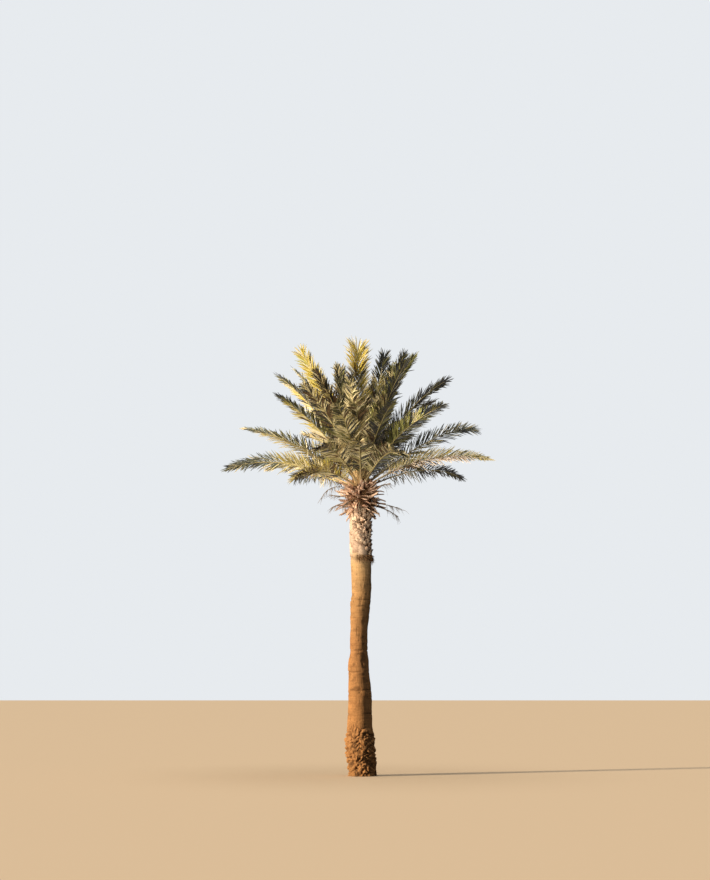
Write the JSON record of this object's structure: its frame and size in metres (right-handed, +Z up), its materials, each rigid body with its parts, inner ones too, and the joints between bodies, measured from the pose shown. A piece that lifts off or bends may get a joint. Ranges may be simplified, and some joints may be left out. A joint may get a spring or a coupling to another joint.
{
  "type": "date palm tree",
  "caption": "Mature date palm: a slightly leaning ringed trunk with a swollen foot, a brush of cut leaf bases under the crown, and a round crown of arching feather fronds.",
  "frame": {"origin": "centre of the flat cut under the trunk, at ground level", "axes": "+Z up along the trunk, +X to the right and +Y away from the viewer, as the palm was pictured"},
  "size_m": [5.4798, 5.4536, 8.8955],
  "materials": {
    "bark": "rough, ringed and fibrous",
    "leaf": "dull green to straw",
    "stalk": "dry and grey-brown"
  },
  "bodies": {
    "root": {"trunk": "bark", "frond_01": "leaf", "frond_02": "leaf", "frond_03": "leaf", "frond_04": "leaf", "frond_05": "leaf", "frond_06": "leaf", "frond_07": "leaf", "frond_08": "leaf", "frond_09": "leaf", "frond_10": "leaf", "frond_11": "leaf", "frond_12": "leaf", "frond_13": "leaf", "frond_14": "leaf", "frond_15": "leaf", "frond_16": "leaf", "frond_17": "leaf", "frond_18": "leaf", "frond_19": "leaf", "frond_20": "leaf", "frond_21": "leaf", "frond_22": "leaf", "frond_23": "leaf", "frond_24": "leaf", "frond_25": "leaf", "frond_26": "leaf", "frond_27": "leaf", "frond_28": "leaf", "frond_29": "leaf", "frond_30": "leaf", "frond_31": "leaf", "frond_32": "leaf", "frond_33": "leaf", "frond_34": "leaf", "frond_35": "leaf", "frond_36": "leaf", "frond_37": "leaf", "frond_38": "leaf", "frond_39": "leaf", "frond_40": "leaf", "frond_41": "leaf", "frond_42": "leaf", "frond_43": "leaf", "frond_44": "leaf", "old_stalk_01": "stalk", "old_stalk_02": "stalk", "old_stalk_03": "stalk", "old_stalk_04": "stalk", "old_stalk_05": "stalk", "old_stalk_06": "stalk", "old_stalk_07": "stalk", "old_stalk_08": "stalk", "old_stalk_09": "stalk", "old_stalk_10": "stalk"}
  },
  "joints": []
}
